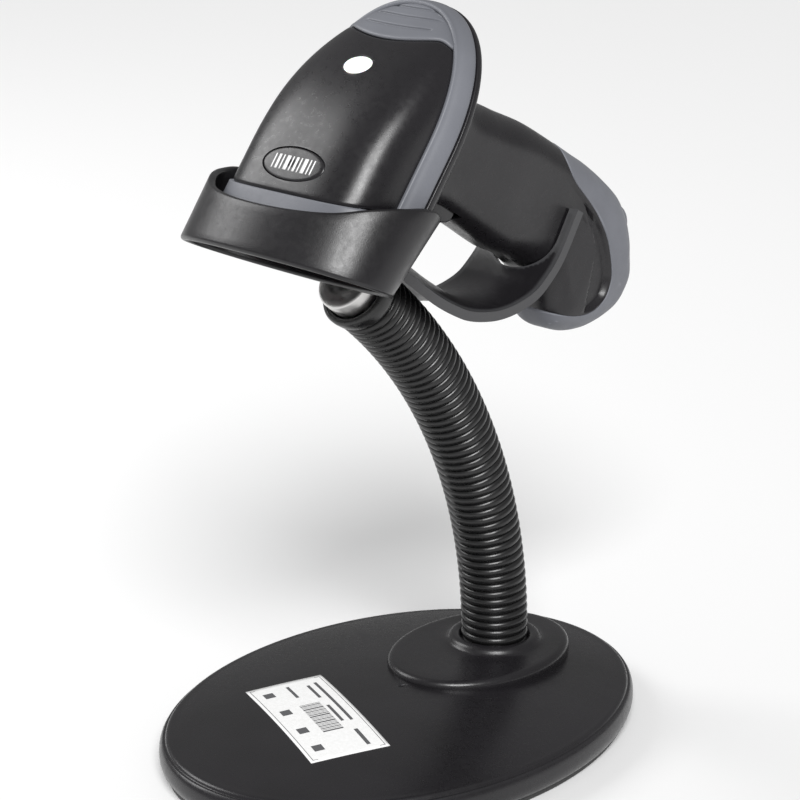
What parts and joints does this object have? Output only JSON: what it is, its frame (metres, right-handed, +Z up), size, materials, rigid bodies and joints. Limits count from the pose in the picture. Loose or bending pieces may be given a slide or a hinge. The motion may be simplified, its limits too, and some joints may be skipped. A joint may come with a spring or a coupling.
{
  "type": "handheld barcode scanner on a gooseneck stand",
  "caption": "Gun-shaped handheld barcode scanner resting nose down in the oval ring cradle of a weighted counter stand with a bendable ribbed gooseneck.",
  "frame": {"origin": "centre line of the gooseneck's foot where it would meet the surface that the stand rests on", "axes": "+Z up, the stand's front faces -Y, +X to the right of someone standing in front of it"},
  "size_m": [0.117, 0.1731, 0.2138],
  "materials": {
    "stand_black": "fine satin grain",
    "coil_black": "black coated spiral steel",
    "zinc_steel": "satin zinc",
    "ballast_iron": "rough cast",
    "pad_rubber": "matt rubber",
    "label_white": "printed paper sticker",
    "housing_black": "semi-gloss moulded",
    "trim_grey": "satin soft-touch",
    "grip_grey": "soft overmoulded rubber",
    "window_tint": "tinted clear",
    "clear_glass": "polished",
    "lens_white": "milky translucent",
    "board_green": "solder mask",
    "dark_parts": "plain moulded",
    "lamp_red": "clear red",
    "contact_gold": "plated",
    "ribbon_white": "flat cable"
  },
  "bodies": {
    "stand": {"base_shell": "stand_black", "base_plate": "zinc_steel", "ballast_weight": "ballast_iron", "anti_slip_pad": "pad_rubber", "base_screws": "zinc_steel", "base_label": "label_white", "neck_nut": "zinc_steel", "neck_foot": "coil_black"},
    "neck_section_1": {"neck_link_1": "coil_black"},
    "neck_section_2": {"neck_link_2": "coil_black"},
    "neck_section_3": {"neck_link_3": "coil_black"},
    "neck_section_4": {"neck_link_4": "coil_black"},
    "neck_section_5": {"neck_link_5": "coil_black"},
    "cradle": {"neck_top": "coil_black", "cradle_stud": "zinc_steel", "cradle_ring": "stand_black", "cradle_scoop": "stand_black", "cradle_screw": "zinc_steel", "scoop_rivet": "zinc_steel"},
    "scanner": {"lower_housing": "housing_black", "top_shell": "housing_black", "rear_cap": "trim_grey", "bumper_band": "trim_grey", "nose_frame": "trim_grey", "back_grip": "grip_grey", "scan_window": "window_tint", "window_gasket": "pad_rubber", "status_lens": "lens_white", "badge_plate": "housing_black", "trigger_pin": "zinc_steel", "trigger_spring": "zinc_steel", "trigger_switch": "dark_parts", "housing_screws": "zinc_steel", "main_board": "board_green", "engine_chassis": "dark_parts", "lens_barrel": "dark_parts", "focus_lens": "clear_glass", "lens_holder": "dark_parts", "image_sensor": "dark_parts", "aiming_lamps": "lamp_red", "light_bars": "lamp_red", "buzzer": "dark_parts", "decoder_chip": "dark_parts", "status_lamp": "lamp_red", "light_guide": "clear_glass", "cable_socket": "dark_parts", "socket_contacts": "contact_gold", "socket_board": "board_green", "inner_ribbon": "ribbon_white"},
    "trigger_body": {"trigger": "housing_black"}
  },
  "joints": [
    {"name": "neck_pitch_1", "type": "hinge", "parent": "stand", "child": "neck_section_1", "pos_m": [0, -0.00112, 0.03628], "axis": [1, 0, 0], "range_deg": [-8, 8]},
    {"name": "neck_sway_1", "type": "hinge", "parent": "neck_section_1", "child": "neck_section_2", "pos_m": [0, -0.00471, 0.0553], "axis": [0, 0.9686, 0.2487], "range_deg": [-8, 8]},
    {"name": "neck_pitch_2", "type": "hinge", "parent": "neck_section_2", "child": "neck_section_3", "pos_m": [0, -0.01073, 0.07371], "axis": [1, 0, 0], "range_deg": [-8, 8]},
    {"name": "neck_sway_2", "type": "hinge", "parent": "neck_section_3", "child": "neck_section_4", "pos_m": [0, -0.01906, 0.09118], "axis": [0, 0.8729, 0.4879], "range_deg": [-8, 8]},
    {"name": "neck_pitch_3", "type": "hinge", "parent": "neck_section_4", "child": "neck_section_5", "pos_m": [0, -0.02958, 0.10743], "axis": [1, 0, 0], "range_deg": [-8, 8]},
    {"name": "neck_sway_3", "type": "hinge", "parent": "neck_section_5", "child": "cradle", "pos_m": [0, -0.0421, 0.1222], "axis": [0, 0.7193, 0.6947], "range_deg": [-8, 8]},
    {"name": "scanner_lift_off", "type": "slide", "parent": "cradle", "child": "scanner", "axis": [0, 0.6157, 0.788], "range_m": [0, 0.11]},
    {"name": "trigger_pull", "type": "hinge", "parent": "scanner", "child": "trigger_body", "pos_m": [0, -0.04028, 0.16853], "axis": [1, 0, 0], "range_deg": [0, 8], "stiffness_Nm_per_rad": 0.15, "springref_deg": -8.59}
  ],
  "couplings": [
    {"joint": "neck_pitch_2", "follows": "neck_pitch_1", "ratio": 1},
    {"joint": "neck_pitch_3", "follows": "neck_pitch_1", "ratio": 1},
    {"joint": "neck_sway_2", "follows": "neck_sway_1", "ratio": 1},
    {"joint": "neck_sway_3", "follows": "neck_sway_1", "ratio": 1}
  ]
}
